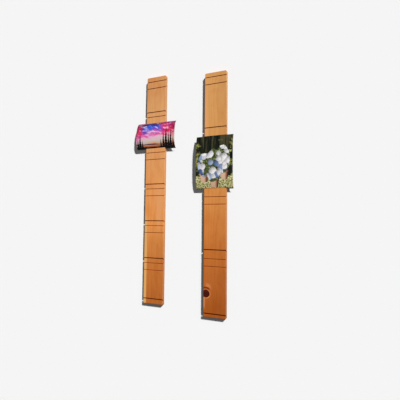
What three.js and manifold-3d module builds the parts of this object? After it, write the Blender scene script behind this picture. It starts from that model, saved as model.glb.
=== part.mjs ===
// Wall photo holder: a pair of upright wooden boards with slanted saw grooves.
// A print is tucked between a lower and an upper groove, and bows out from the board.
// Millimetres. X runs along the wall, Y points into the wall, Z is up.
// The origin is the middle of the landscape board's back face, which lies on the wall.

import * as THREE from 'three';
import { mergeVertices } from 'three/addons/utils/BufferGeometryUtils.js';
import Module from 'manifold-3d';

// Boards
const boardWidth = 75.4;
const boardLength = 796;
const boardThickness = 12.5;
const topCornerRadius = 4;
const bottomCornerRadius = 1.5;
const easedEdge = 0.8;
const gapBetweenBoards = 148.1;
const portraitBoardDrop = 20.1;

// Saw grooves: a bay has one lower groove and two upper ones for two print heights
const sawKerf = 2.2;
const grooveAngle = THREE.MathUtils.degToRad(45);
const landscapeBays = 6;
const portraitBays = 4;
const upperGrooveSpacing = 24.2;
const landscapeTopMargin = 16.85;
const portraitTopMargin = 15.25;
const landscapeBayGap = 17.6;
const portraitBayGap = 29.5;
const landscapeEndMargin = 16.95;
const portraitEndMargin = 11.15;

// Prints, and how far each edge reaches into its groove along the slant. The turn is
// clockwise seen from the front.
const printThickness = 0.3;
const landscapePrintWidth = 152.4;
const landscapePrintHeight = 101.6;
const landscapeBow = 9;
const landscapeBowFullness = 3;
const landscapePrintShift = 2.2;
const landscapePrintTurn = THREE.MathUtils.degToRad(1.35);
const landscapePrintSlide = 39;
const landscapePrintBay = 1;
const portraitPrintWidth = 127;
const portraitPrintHeight = 177.8;
const portraitBow = 7;
const portraitBowFullness = 3.5;
const portraitPrintShift = -2.1;
const portraitPrintTurn = 0;
const portraitPrintBay = 1;
const landscapeSeats = { lower: 6.2, upper: 5.6 };
const portraitSeats = { lower: 5.5, upper: 1.3 };
const seatGap = 0.4;

// Keyhole hangers, let into the back near both ends of each board
const hangerLength = 44;
const hangerWidth = 15;
const hangerThickness = 1.6;
const hangerCornerRadius = 3;
const keyholeEntryRadius = 4.5;
const keyholeNeckWidth = 4.8;
const keyholeRise = 9;
const hangerFromBoardEnd = 87;
const headPocketDepth = 4;
const hangerFitGap = 0.3;
const hangerSink = 0.3;

// Countersunk wood screws that hold each hanger
const screwSpacing = 34;
const screwLength = 7;
const screwRadius = 1.4;
const screwTipLength = 2;
const screwHeadRadius = 2.8;
const screwHeadHeight = 1.4;
const screwRimHeight = 0.2;
const screwGap = 0.3;
const driveSlotLength = 2.8;
const driveSlotWidth = 0.7;
const driveSlotDepth = 0.7;

// Smoothness of the curved faces
const cornerSegments = 8;
const bevelSegments = 2;
const bowSteps = 24;
const tuckSteps = 5;
const roundSegments = 28;
const hangerCornerSegments = 12;

// A print's edge is straight at its end, then bends over this share of its seat
const bendShare = 0.6;
const bendHandleShare = 0.35;
const spanRounds = 12;
const cutOverrun = 4;
const mergeDistance = 1e-4;
const flatTolerance = 1e-6;

const woodColour = 0xd8934f;
const duskPrintColour = 0xad758f;
const gardenPrintColour = 0x807a70;
const zincColour = 0xb9b7ae;

const manifoldLibrary = await Module();
manifoldLibrary.setup();

// Closed three.js mesh to a solid that can be cut
function toSolid(geometry) {
  const bare = geometry.clone();
  bare.deleteAttribute('normal');
  bare.deleteAttribute('uv');
  const merged = mergeVertices(bare, mergeDistance);
  const mesh = new manifoldLibrary.Mesh({
    numProp: 3,
    vertProperties: new Float32Array(merged.attributes.position.array),
    triVerts: new Uint32Array(merged.index.array),
  });
  return new manifoldLibrary.Manifold(mesh);
}

function toGeometry(solid) {
  const mesh = solid.getMesh();
  const geometry = new THREE.BufferGeometry();
  geometry.setAttribute('position', new THREE.BufferAttribute(new Float32Array(mesh.vertProperties), 3));
  geometry.setIndex(new THREE.BufferAttribute(new Uint32Array(mesh.triVerts), 1));
  geometry.computeVertexNormals();
  return geometry;
}

function cutAll(geometry, cutters) {
  return toGeometry(cutters.reduce((solid, cutter) => solid.subtract(toSolid(cutter)), toSolid(geometry)));
}

function makeMesh(name, geometry, colour, roughness, metalness = 0) {
  const material = new THREE.MeshStandardMaterial({ color: colour, roughness, metalness });
  const mesh = new THREE.Mesh(geometry, material);
  mesh.name = name;
  return mesh;
}

// Shape drawn in X and Z, made thick along Y, from frontY back to frontY + depth
function extrudeFromFront(shape, depth, frontY, curveSegments) {
  const geometry = new THREE.ExtrudeGeometry(shape, { depth, bevelEnabled: false, curveSegments });
  geometry.rotateX(Math.PI / 2);
  return geometry.translate(0, frontY + depth, 0);
}

// Outline drawn in Y and Z, made width long along X about centreX
function extrudeAcross(points, width, centreX) {
  const geometry = new THREE.ExtrudeGeometry(new THREE.Shape(points), { depth: width, bevelEnabled: false });
  const drawn = new THREE.Matrix4().makeBasis(
    new THREE.Vector3(0, 1, 0),
    new THREE.Vector3(0, 0, 1),
    new THREE.Vector3(1, 0, 0),
  );
  return geometry.applyMatrix4(drawn).translate(centreX - width / 2, 0, 0);
}

// Rectangle about the origin with one radius for the top corners and one for the bottom ones
function roundedRectangle(width, height, topRadius, bottomRadius) {
  const x = width / 2;
  const z = height / 2;
  const shape = new THREE.Shape();
  shape.moveTo(-x + bottomRadius, -z);
  shape.lineTo(x - bottomRadius, -z);
  shape.absarc(x - bottomRadius, -z + bottomRadius, bottomRadius, -Math.PI / 2, 0);
  shape.lineTo(x, z - topRadius);
  shape.absarc(x - topRadius, z - topRadius, topRadius, 0, Math.PI / 2);
  shape.lineTo(-x + topRadius, z);
  shape.absarc(-x + topRadius, z - topRadius, topRadius, Math.PI / 2, Math.PI);
  shape.lineTo(-x, -z + bottomRadius);
  shape.absarc(-x + bottomRadius, -z + bottomRadius, bottomRadius, Math.PI, Math.PI * 1.5);
  return shape;
}

// Centre line of a print seen from the side, from the end in the lower groove to the
// end in the upper one. x is how far it stands in front of the board's face, y is the
// height above the lower groove's mouth. The bow is a power curve between the mouths.
function printCentreLine(span, bow, fullness, seats) {
  const into = new THREE.Vector2(-Math.cos(grooveAngle), -Math.sin(grooveAngle));
  const endSlope = (2 * fullness * bow) / span;
  const leaving = new THREE.Vector2(endSlope, 1).normalize();
  const tuck = (seat) => {
    const bend = bendShare * seat;
    const handle = bendHandleShare * bend;
    const inner = into.clone().multiplyScalar(seat);
    const start = into.clone().multiplyScalar(bend);
    const startHandle = into.clone().multiplyScalar(bend - handle);
    const curve = new THREE.CubicBezierCurve(
      start,
      startHandle,
      leaving.clone().multiplyScalar(-handle),
      new THREE.Vector2(0, 0),
    );
    return [inner, ...curve.getPoints(tuckSteps)];
  };
  const middle = [];
  for (let step = 1; step < bowSteps; step += 1) {
    const along = (2 * step) / bowSteps - 1;
    const out = bow * (1 - Math.abs(along) ** fullness);
    middle.push(new THREE.Vector2(out, ((along + 1) / 2) * span));
  }
  const upper = tuck(seats.upper).map((point) => new THREE.Vector2(point.x, span - point.y));
  return [...tuck(seats.lower), ...middle, ...upper.reverse()];
}

function lineLength(points) {
  return points.slice(1).reduce((sum, point, index) => sum + point.distanceTo(points[index]), 0);
}

// Distance between the mouths of two grooves that holds a print of this height at this bow
function spanForPrint(printHeight, bow, fullness, seats) {
  let span = printHeight;
  for (let round = 0; round < spanRounds; round += 1) {
    span += printHeight - lineLength(printCentreLine(span, bow, fullness, seats));
  }
  return span;
}

const landscapeSpan = spanForPrint(
  landscapePrintHeight,
  landscapeBow,
  landscapeBowFullness,
  landscapeSeats,
);
const portraitSpan = spanForPrint(portraitPrintHeight, portraitBow, portraitBowFullness, portraitSeats);

// Heights of the groove mouths above the board's middle, bay by bay from the top.
// The lowest groove of all is set from the bottom end instead.
function layOutBays(count, topMargin, lowSpan, bayGap, endMargin) {
  const bays = [];
  let top = boardLength / 2 - topMargin;
  for (let bay = 0; bay < count; bay += 1) {
    const mouth = { high: top, low: top - upperGrooveSpacing, lower: top - upperGrooveSpacing - lowSpan };
    bays.push(mouth);
    top = mouth.lower - bayGap;
  }
  bays[count - 1].lower = -boardLength / 2 + endMargin;
  return bays;
}

const landscapeMouths = layOutBays(
  landscapeBays,
  landscapeTopMargin,
  landscapeSpan,
  landscapeBayGap,
  landscapeEndMargin,
);
const portraitMouths = layOutBays(
  portraitBays,
  portraitTopMargin,
  portraitSpan - upperGrooveSpacing,
  portraitBayGap,
  portraitEndMargin,
);

// A turned print's lower edge reaches deepest at the board's side when it is slid all the
// way; the saw cut goes a little deeper than that
const turnedEdgeDip = Math.sin(landscapePrintTurn) * (boardWidth / 2 + landscapePrintSlide);
const grooveReach = Math.max(landscapeSeats.lower + turnedEdgeDip, portraitSeats.lower) + seatGap;

// Slanted saw cut across the whole board; upward is 1 where it rises into the wood, else -1
function grooveCutter(mouthHeight, upward) {
  const into = new THREE.Vector2(Math.cos(grooveAngle), upward * Math.sin(grooveAngle));
  const side = new THREE.Vector2(-into.y, into.x).multiplyScalar(sawKerf / 2);
  const mouth = new THREE.Vector2(-boardThickness, mouthHeight);
  const outside = mouth.clone().addScaledVector(into, -cutOverrun);
  const bottom = mouth.clone().addScaledVector(into, grooveReach);
  const outline = [
    outside.clone().sub(side),
    bottom.clone().sub(side),
    bottom.clone().add(side),
    outside.clone().add(side),
  ];
  return extrudeAcross(outline, boardWidth + 2 * cutOverrun, 0);
}

// Heights of the two hangers of a board, above the board's middle
const hangerHeights = {
  top: boardLength / 2 - hangerFromBoardEnd,
  bottom: -boardLength / 2 + hangerFromBoardEnd,
};
const screwHeights = { upper: screwSpacing / 2, lower: -screwSpacing / 2 };
const keyholeEntryHeight = -keyholeRise / 2;
const keyholeTopHeight = keyholeRise / 2;

// Upright slot with round ends, with a radius for each end
function slotOutline(path, lowRadius, highRadius) {
  const lean = Math.asin((lowRadius - highRadius) / keyholeRise);
  path.absarc(0, keyholeEntryHeight, lowRadius, Math.PI - lean, lean, false);
  path.absarc(0, keyholeTopHeight, highRadius, lean, Math.PI - lean, false);
  path.closePath();
  return path;
}

// Round entry with a narrower neck that rises from it
function keyholeOutline() {
  const neck = keyholeNeckWidth / 2;
  const meeting = Math.acos(neck / keyholeEntryRadius);
  const path = new THREE.Path();
  path.absarc(0, keyholeEntryHeight, keyholeEntryRadius, Math.PI - meeting, meeting, false);
  path.absarc(0, keyholeTopHeight, neck, 0, Math.PI, false);
  path.closePath();
  return path;
}

// Room for the hanger plate, the wall screw's head behind it and the two wood screws
function hangerPocketCutters(height) {
  const grow = 2 * hangerFitGap;
  const radius = hangerCornerRadius + hangerFitGap;
  const plateDepth = hangerThickness + hangerSink + hangerFitGap;
  const plate = roundedRectangle(hangerWidth + grow, hangerLength + grow, radius, radius);
  const headRadius = keyholeEntryRadius + hangerFitGap;
  const headRoom = slotOutline(new THREE.Shape(), headRadius, headRadius);
  const holes = Object.values(screwHeights).map((screwHeight) => {
    const hole = new THREE.CylinderGeometry(
      screwRadius + screwGap,
      screwRadius + screwGap,
      screwLength + hangerSink + screwGap + cutOverrun,
      roundSegments,
    );
    const middle = (cutOverrun - screwLength - hangerSink - screwGap) / 2;
    return hole.translate(0, middle, screwHeight);
  });
  const cutters = [
    extrudeFromFront(plate, plateDepth + cutOverrun, -plateDepth, cornerSegments),
    extrudeFromFront(headRoom, headPocketDepth + cutOverrun, -plateDepth - headPocketDepth, cornerSegments),
    ...holes,
  ];
  return cutters.map((cutter) => cutter.translate(0, 0, height));
}

function makeBoard(name, mouths) {
  const outline = roundedRectangle(boardWidth, boardLength, topCornerRadius, bottomCornerRadius);
  const blank = new THREE.ExtrudeGeometry(outline, {
    depth: boardThickness - 2 * easedEdge,
    bevelThickness: easedEdge,
    bevelSize: easedEdge,
    bevelOffset: -easedEdge,
    bevelSegments,
    curveSegments: cornerSegments,
  });
  blank.translate(0, 0, easedEdge);
  blank.rotateX(Math.PI / 2);
  const grooves = mouths.flatMap((mouth) => [
    grooveCutter(mouth.high, 1),
    grooveCutter(mouth.low, 1),
    grooveCutter(mouth.lower, -1),
  ]);
  const pockets = Object.values(hangerHeights).flatMap(hangerPocketCutters);
  return makeMesh(name, cutAll(blank, [...grooves, ...pockets]), woodColour, 0.55);
}

// Corners of a print laid flat and turned: x from the board's middle, y along the
// centre line from its lower end
function flatCorners(print) {
  const centre = new THREE.Vector2(print.shift, print.height / 2);
  const signs = [[-1, -1], [1, -1], [1, 1], [-1, 1]];
  return signs.map(([across, up]) => {
    const corner = new THREE.Vector2((across * print.width) / 2, (up * print.height) / 2);
    return corner.rotateAround(new THREE.Vector2(0, 0), -print.turn).add(centre);
  });
}

// Left and right ends of the flat print at a distance along the centre line
function printEnds(corners, distance) {
  const crossings = corners.flatMap((from, index) => {
    const to = corners[(index + 1) % corners.length];
    const share = (distance - from.y) / (to.y - from.y);
    const crosses = share > -flatTolerance && share < 1 + flatTolerance;
    return crosses ? [THREE.MathUtils.lerp(from.x, to.x, share)] : [];
  });
  const left = Math.min(...crossings);
  const right = Math.max(...crossings);
  return right - left < flatTolerance ? [left, left] : [left, right];
}

// Points of the line with their distances and their directions out of the sheet's front;
// the first and last stretches run on straight as far as the turned corners need
function markedLine(line, lowest, highest) {
  const stretch = (from, towards, length) =>
    from.clone().add(from.clone().sub(towards).normalize().multiplyScalar(length));
  const before = stretch(line[0], line[1], Math.max(0, -lowest));
  const after = stretch(line.at(-1), line.at(-2), Math.max(0, highest - lineLength(line)));
  const points = [before, ...line.slice(1, -1), after];
  let distance = Math.min(0, lowest);
  return points.map((point, index) => {
    const previous = points[Math.max(index - 1, 0)];
    const next = points[Math.min(index + 1, points.length - 1)];
    const along = next.clone().sub(previous).normalize();
    distance += point.distanceTo(previous);
    return { point, distance, side: new THREE.Vector2(along.y, -along.x) };
  });
}

// Mark on the line at any distance, between the marks that enclose it
function markAt(marks, distance) {
  const found = marks.findIndex((mark) => mark.distance >= distance - flatTolerance);
  const index = Math.max(found < 0 ? marks.length - 1 : found, 1);
  const from = marks[index - 1];
  const to = marks[index];
  const share = (distance - from.distance) / (to.distance - from.distance);
  return {
    distance,
    point: from.point.clone().lerp(to.point, share),
    side: from.side.clone().lerp(to.side, share).normalize(),
  };
}

// Four-sided faces to triangles; a face that narrows to a point keeps one triangle
function facesToGeometry(faces) {
  const triangles = faces.flatMap(([a, b, c, d]) => [[a, b, c], [a, c, d]]);
  const whole = triangles.filter(([a, b, c]) => !a.equals(b) && !b.equals(c) && !c.equals(a));
  const geometry = new THREE.BufferGeometry().setFromPoints(whole.flat());
  geometry.computeVertexNormals();
  return geometry;
}

// Thin sheet, turned in its own surface and bent along the centre line, row by row
function makePrint(name, line, lowerMouthHeight, print, colour) {
  const corners = flatCorners(print);
  const heights = corners.map((corner) => corner.y);
  const lowest = Math.min(...heights);
  const highest = Math.max(...heights);
  const marks = markedLine(line, lowest, highest);
  const distances = [...marks.map((mark) => mark.distance), ...heights]
    .filter((distance) => distance > lowest - flatTolerance && distance < highest + flatTolerance)
    .sort((a, b) => a - b)
    .filter((distance, index, all) => index === 0 || distance - all[index - 1] > flatTolerance);
  const rows = distances.map((distance) => {
    const { point, side } = markAt(marks, distance);
    const [left, right] = printEnds(corners, distance);
    const place = (x, out) => {
      const moved = point.clone().addScaledVector(side, (out * printThickness) / 2);
      return new THREE.Vector3(x, -boardThickness - moved.x, lowerMouthHeight + moved.y);
    };
    return [place(left, 1), place(right, 1), place(right, -1), place(left, -1)];
  });
  const around = rows.slice(1).flatMap((row, index) =>
    row.map((corner, place) => {
      const next = (place + 1) % row.length;
      return [rows[index][place], rows[index][next], row[next], corner];
    }),
  );
  const faces = [[...rows[0]].reverse(), ...around, rows.at(-1)];
  return makeMesh(name, facesToGeometry(faces), colour, 0.25);
}

// Steel plate with a keyhole and two countersunk screw holes; its back face is at Y = 0
function makeHangerGeometry() {
  const plate = roundedRectangle(hangerWidth, hangerLength, hangerCornerRadius, hangerCornerRadius);
  plate.holes.push(keyholeOutline());
  const blank = extrudeFromFront(plate, hangerThickness, -hangerThickness, hangerCornerSegments);
  const holeRadius = screwRadius + screwGap;
  const mouthRadius = screwHeadRadius + screwGap;
  const coneHeight = screwHeadHeight - screwRimHeight;
  const sink = [
    new THREE.Vector2(0, -hangerThickness - cutOverrun),
    new THREE.Vector2(holeRadius, -hangerThickness - cutOverrun),
    new THREE.Vector2(holeRadius, -screwRimHeight - screwGap - coneHeight),
    new THREE.Vector2(mouthRadius, -screwRimHeight - screwGap),
    new THREE.Vector2(mouthRadius, cutOverrun),
    new THREE.Vector2(0, cutOverrun),
  ];
  const cutters = Object.values(screwHeights).map((height) =>
    new THREE.LatheGeometry(sink, roundSegments).translate(0, 0, height),
  );
  return cutAll(blank, cutters);
}

// Wood screw with its head's flat at Y = 0 and its tip towards -Y
function makeScrewGeometry() {
  const profile = [
    new THREE.Vector2(0, -screwLength),
    new THREE.Vector2(screwRadius, -screwLength + screwTipLength),
    new THREE.Vector2(screwRadius, -screwHeadHeight),
    new THREE.Vector2(screwHeadRadius, -screwRimHeight),
    new THREE.Vector2(screwHeadRadius, 0),
    new THREE.Vector2(0, 0),
  ];
  const body = new THREE.LatheGeometry(profile, roundSegments);
  const slotHeight = 2 * driveSlotDepth;
  const slots = [
    new THREE.BoxGeometry(driveSlotLength, slotHeight, driveSlotWidth),
    new THREE.BoxGeometry(driveSlotWidth, slotHeight, driveSlotLength),
  ];
  return cutAll(body, slots);
}

const hangerGeometry = makeHangerGeometry();
const screwGeometry = makeScrewGeometry();

function addHangers(boardGroup, boardName) {
  for (const [end, height] of Object.entries(hangerHeights)) {
    const hanger = makeMesh(`${boardName}_${end}_hanger`, hangerGeometry, zincColour, 0.4, 0.9);
    hanger.position.set(0, -hangerSink, height);
    boardGroup.add(hanger);
    for (const [place, screwHeight] of Object.entries(screwHeights)) {
      const name = `${boardName}_${end}_hanger_${place}_screw`;
      const screw = makeMesh(name, screwGeometry, zincColour, 0.35, 0.9);
      screw.position.set(0, -hangerSink, height + screwHeight);
      boardGroup.add(screw);
    }
  }
}

const landscapeGroup = new THREE.Group();
landscapeGroup.add(makeBoard('landscape_board', landscapeMouths));
landscapeGroup.add(
  makePrint(
    'landscape_print',
    printCentreLine(landscapeSpan, landscapeBow, landscapeBowFullness, landscapeSeats),
    landscapeMouths[landscapePrintBay].lower,
    {
      width: landscapePrintWidth,
      height: landscapePrintHeight,
      shift: landscapePrintShift,
      turn: landscapePrintTurn,
    },
    duskPrintColour,
  ),
);
addHangers(landscapeGroup, 'landscape_board');

const portraitGroup = new THREE.Group();
portraitGroup.position.set(boardWidth + gapBetweenBoards, 0, -portraitBoardDrop);
portraitGroup.add(makeBoard('portrait_board', portraitMouths));
portraitGroup.add(
  makePrint(
    'portrait_print',
    printCentreLine(portraitSpan, portraitBow, portraitBowFullness, portraitSeats),
    portraitMouths[portraitPrintBay].lower,
    {
      width: portraitPrintWidth,
      height: portraitPrintHeight,
      shift: portraitPrintShift,
      turn: portraitPrintTurn,
    },
    gardenPrintColour,
  ),
);
addHangers(portraitGroup, 'portrait_board');

const photoHolder = new THREE.Group();
photoHolder.add(landscapeGroup, portraitGroup);

export default photoHolder;
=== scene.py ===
"""Wall photo holder: the looks of two grooved boards with a bowed print in each.

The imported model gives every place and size. The boards, hangers and screws are its own
solids with new finishes. The two prints are new, finer sheets that stand for its solids.
Metres. X runs along the wall, Y points into the wall, Z is up.
"""

from __future__ import annotations

import logging
import math
from dataclasses import dataclass
from enum import Enum
from typing import Any, Sequence

import bpy
import numpy as np
from mathutils import Matrix, Vector

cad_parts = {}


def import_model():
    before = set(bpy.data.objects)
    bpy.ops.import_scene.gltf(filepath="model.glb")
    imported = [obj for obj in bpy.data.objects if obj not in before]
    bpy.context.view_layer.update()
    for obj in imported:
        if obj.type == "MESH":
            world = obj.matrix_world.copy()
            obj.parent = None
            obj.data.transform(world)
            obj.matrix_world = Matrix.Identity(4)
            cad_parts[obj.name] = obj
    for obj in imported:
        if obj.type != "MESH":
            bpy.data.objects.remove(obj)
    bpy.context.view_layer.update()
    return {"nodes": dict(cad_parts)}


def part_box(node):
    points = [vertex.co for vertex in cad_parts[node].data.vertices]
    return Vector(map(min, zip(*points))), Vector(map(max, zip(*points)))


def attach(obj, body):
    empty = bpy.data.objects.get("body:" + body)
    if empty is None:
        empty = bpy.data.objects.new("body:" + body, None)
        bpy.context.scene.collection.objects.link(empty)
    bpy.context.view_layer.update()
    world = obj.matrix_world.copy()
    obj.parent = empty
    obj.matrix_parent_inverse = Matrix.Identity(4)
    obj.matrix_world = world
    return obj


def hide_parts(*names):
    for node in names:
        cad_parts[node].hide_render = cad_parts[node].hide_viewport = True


log = logging.getLogger("photo_holder")

MM = 0.001
PICTURE_FRAME = 400
SHARP_ANGLE = math.radians(50)

Material = bpy.types.Material
Socket = bpy.types.NodeSocket
Colour = tuple[float, float, float]
Stops = Sequence[tuple[float, Colour]]


def tone(red: int, green: int, blue: int) -> Colour:
    """Turns a colour written as 0 to 255 sRGB numbers into the linear numbers that shaders take.

    Args:
        red: Red, 0 to 255.
        green: Green, 0 to 255.
        blue: Blue, 0 to 255.

    Returns:
        Linear red, green and blue: c / 12.92 below 0.04045, else ((c + 0.055) / 1.055) ^ 2.4.
    """
    parts = np.array([red, green, blue]) / 255
    linear = np.where(parts <= 0.04045, parts / 12.92, ((parts + 0.055) / 1.055) ** 2.4)
    return tuple(float(part) for part in linear)


class Field:
    """A number that varies over a surface. Arithmetic on it adds Math nodes to its graph."""

    def __init__(self, graph: Graph, socket: Socket) -> None:
        """Keeps the graph and the output socket that holds the number."""
        self.graph = graph
        self.socket = socket

    def __add__(self, other: Number) -> Field:
        """Sum."""
        return self.graph.math("ADD", self, other)

    def __radd__(self, other: Number) -> Field:
        """Sum with a plain number on the left."""
        return self.graph.math("ADD", other, self)

    def __sub__(self, other: Number) -> Field:
        """Difference."""
        return self.graph.math("SUBTRACT", self, other)

    def __rsub__(self, other: Number) -> Field:
        """Difference from a plain number."""
        return self.graph.math("SUBTRACT", other, self)

    def __mul__(self, other: Number) -> Field:
        """Product."""
        return self.graph.math("MULTIPLY", self, other)

    def __rmul__(self, other: Number) -> Field:
        """Product with a plain number on the left."""
        return self.graph.math("MULTIPLY", other, self)

    def __truediv__(self, other: Number) -> Field:
        """Quotient."""
        return self.graph.math("DIVIDE", self, other)

    def __pow__(self, other: Number) -> Field:
        """Power."""
        return self.graph.math("POWER", self, other)

    def size(self) -> Field:
        """The number without its sign."""
        return self.graph.math("ABSOLUTE", self)

    def fraction(self) -> Field:
        """What is left after the whole part is taken off."""
        return self.graph.math("FRACT", self)

    def sine(self) -> Field:
        """Sine of the number, in radians."""
        return self.graph.math("SINE", self)

    def larger(self, other: Number) -> Field:
        """The larger of two numbers."""
        return self.graph.math("MAXIMUM", self, other)

    def smaller(self, other: Number) -> Field:
        """The smaller of two numbers."""
        return self.graph.math("MINIMUM", self, other)

    def rise(self, low: float, high: float) -> Field:
        """Smooth step from 0 at low to 1 at high; low may be the larger one, for a fall."""
        return self.graph.step(self, low, high)


Number = Field | float | int


class Graph:
    """Adds shader nodes to one tree and links them."""

    def __init__(self, tree: bpy.types.NodeTree) -> None:
        """Keeps the node tree."""
        self.tree = tree

    @classmethod
    def cleared(cls, owner: Material | bpy.types.World) -> Graph:
        """Turns on the nodes of a material or a world, and takes out those that come with it.

        Args:
            owner: The material or the world.

        Returns:
            Its empty graph.
        """
        owner.use_nodes = True
        owner.node_tree.nodes.clear()
        return cls(owner.node_tree)

    def put(self, socket: Socket, value: Any) -> None:
        """Links a field or socket to an input, or writes a plain value on it.

        Args:
            socket: The input.
            value: A Field, an output socket, a number or a tuple.
        """
        if isinstance(value, Field):
            value = value.socket
        if isinstance(value, Socket):
            self.tree.links.new(value, socket)
        elif isinstance(value, tuple) and socket.type == "RGBA" and len(value) == 3:
            socket.default_value = (*value, 1.0)
        else:
            socket.default_value = value

    def node(
        self, kind: str, inputs: dict[str | int, Any] | None = None, **settings: Any
    ) -> bpy.types.Node:
        """Adds a node.

        Args:
            kind: The node type without its ShaderNode prefix.
            inputs: Values or links for its inputs, by name or number.
            settings: Properties of the node.

        Returns:
            The new node.
        """
        made = self.tree.nodes.new("ShaderNode" + kind)
        for name, value in settings.items():
            setattr(made, name, value)
        for key, value in (inputs or {}).items():
            self.put(made.inputs[key], value)
        return made

    def math(self, operation: str, first: Number, second: Number = 0.0) -> Field:
        """A Math node on one or two numbers."""
        made = self.node("Math", {0: first, 1: second}, operation=operation)
        return Field(self, made.outputs[0])

    def step(self, value: Number, low: float, high: float) -> Field:
        """Smooth step: 0 up to low, 1 from high on, and t * t * (3 - 2 * t) between.

        Args:
            value: The number.
            low: Where it starts; a low above the high gives a fall.
            high: Where it ends.

        Returns:
            The step, 0 to 1.
        """
        if low < high:
            inputs = {0: value, 1: low, 2: high}
            made = self.node("MapRange", inputs, interpolation_type="SMOOTHSTEP")
            return Field(self, made.outputs[0])
        return 1.0 - self.step(value, high, low)

    def vector(self, x: Number, y: Number, z: Number = 0.0) -> Socket:
        """Three numbers as one vector."""
        return self.node("CombineXYZ", {0: x, 1: y, 2: z}).outputs[0]

    def split(self, vector: Socket) -> tuple[Field, Field, Field]:
        """The three numbers of a vector."""
        made = self.node("SeparateXYZ", {0: vector})
        return tuple(Field(self, output) for output in made.outputs)

    def noise(
        self,
        place: Socket,
        detail: float = 2.0,
        roughness: float = 0.5,
        distortion: float = 0.0,
        scale: float = 1.0,
    ) -> Field:
        """Fractal noise that varies over about one unit of place.

        Args:
            place: The place to read.
            detail: How many finer layers lie on the first one.
            roughness: How strong each layer is next to the one before.
            distortion: How far the place is bent by the noise itself.
            scale: Waves for each unit of place.

        Returns:
            The noise, 0 to 1.
        """
        inputs = {
            "Vector": place,
            "Scale": scale,
            "Detail": detail,
            "Roughness": roughness,
            "Distortion": distortion,
        }
        return Field(self, self.node("TexNoise", inputs).outputs[0])

    def grain(self, place: Sequence[Field], scales: Sequence[float], *more: float) -> Field:
        """Fractal noise with a scale of its own along each axis; more is as in noise."""
        return self.noise(self.vector(*(axis * scale for axis, scale in zip(place, scales))), *more)

    def cells(self, place: Socket, feature: str = "F1", scale: float = 1) -> tuple[Field, Field]:
        """Cells about one unit wide.

        Args:
            place: The place to read.
            feature: Blender's name for what is measured.
            scale: Cells for each unit of place.

        Returns:
            The distance, and a random number that is the same all over one cell.
        """
        made = self.node("TexVoronoi", {"Vector": place, "Scale": scale}, feature=feature)
        if feature == "DISTANCE_TO_EDGE":
            return Field(self, made.outputs[0]), Field(self, made.outputs[0])
        return Field(self, made.outputs[0]), self.split(made.outputs[1])[0]

    def ramp(self, value: Number, stops: Stops) -> Socket:
        """A colour that changes with a number, and eases between its stops.

        Args:
            value: The number, 0 to 1.
            stops: Pairs of a place from 0 to 1 and the linear colour there, in order.

        Returns:
            The colour socket.
        """
        made = self.node("ValToRGB", {0: value})
        band = made.color_ramp
        band.interpolation = "EASE"
        while len(band.elements) < len(stops):
            band.elements.new(0.5)
        for element, (place, colour) in zip(band.elements, stops):
            element.position = place
            element.color = (*colour, 1.0)
        return made.outputs[0]

    def mix(self, share: Number, first: Any, second: Any, way: str = "MIX") -> Socket:
        """Two colours mixed: share 0 gives the first and 1 the second, put on in the named way."""
        made = self.node("Mix", {0: share, 6: first, 7: second}, data_type="RGBA", blend_type=way)
        return made.outputs[2]

    def grey(self, value: Number) -> Socket:
        """A number as a grey colour."""
        return self.node("CombineColor", {0: value, 1: value, 2: value}).outputs[0]

    def shade(self, colour: Any, amount: Number) -> Socket:
        """A colour made lighter or darker by a factor."""
        return self.mix(1.0, colour, self.grey(amount), "MULTIPLY")

    def bump(self, height: Number, strength: float) -> Socket:
        """A normal bent by a height in millimetres."""
        made = self.node("Bump", {"Strength": strength, "Distance": MM, "Height": height})
        return made.outputs[0]

    def millimetres(self, x: float = 0.0, z: float = 0.0) -> Socket:
        """Object coordinates in millimetres.

        Args:
            x: Where they start across, in metres.
            z: Where they start up, in metres.

        Returns:
            The place.
        """
        inputs = {
            "Vector": self.node("TexCoord").outputs["Object"],
            "Location": (-x / MM, 0.0, -z / MM),
            "Scale": (1 / MM, 1 / MM, 1 / MM),
        }
        return self.node("Mapping", inputs).outputs[0]

    def ray(self, kind: str) -> Field:
        """1 for rays of one kind, as Light Path names them, and 0 for all others."""
        return Field(self, self.node("LightPath").outputs[f"Is {kind} Ray"])

    def dim_bounce(self, colour: Any, share: Number) -> Socket:
        """A colour that tints what is near it less, by a share of the light that it sends on."""
        return self.shade(colour, 1.0 - self.ray("Diffuse") * share)

    def surface(self, **inputs: Any) -> None:
        """Ends a material with a Principled BSDF.

        Args:
            inputs: Its inputs by name, with _ for a space.
        """
        named = {name.replace("_", " "): value for name, value in inputs.items()}
        made = self.node("BsdfPrincipled", named)
        self.node("OutputMaterial", {0: made.outputs[0]})


def new_material(name: str) -> tuple[Material, Graph]:
    """Starts a material: the material and its empty graph."""
    material = bpy.data.materials.new(name)
    return material, Graph.cleared(material)


class Effect(Enum):
    """Surface effects that several finishes use, each one shader node group."""

    FIGURE = "timber_figure"
    RUBBED = "rubbed_surface"

    def place(self, graph: Graph, **values: Any) -> dict[str, Field]:
        """Puts the effect into a material.

        Args:
            graph: The material's graph.
            values: Inputs by name, with _ for a space.

        Returns:
            The outputs by name.
        """
        tree = bpy.data.node_groups.get(self.value) or EFFECT_MAKERS[self]()
        made = graph.tree.nodes.new("ShaderNodeGroup")
        made.node_tree = tree
        for name, value in values.items():
            graph.put(made.inputs[name.replace("_", " ")], value)
        return {output.name: Field(graph, output) for output in made.outputs}


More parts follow.
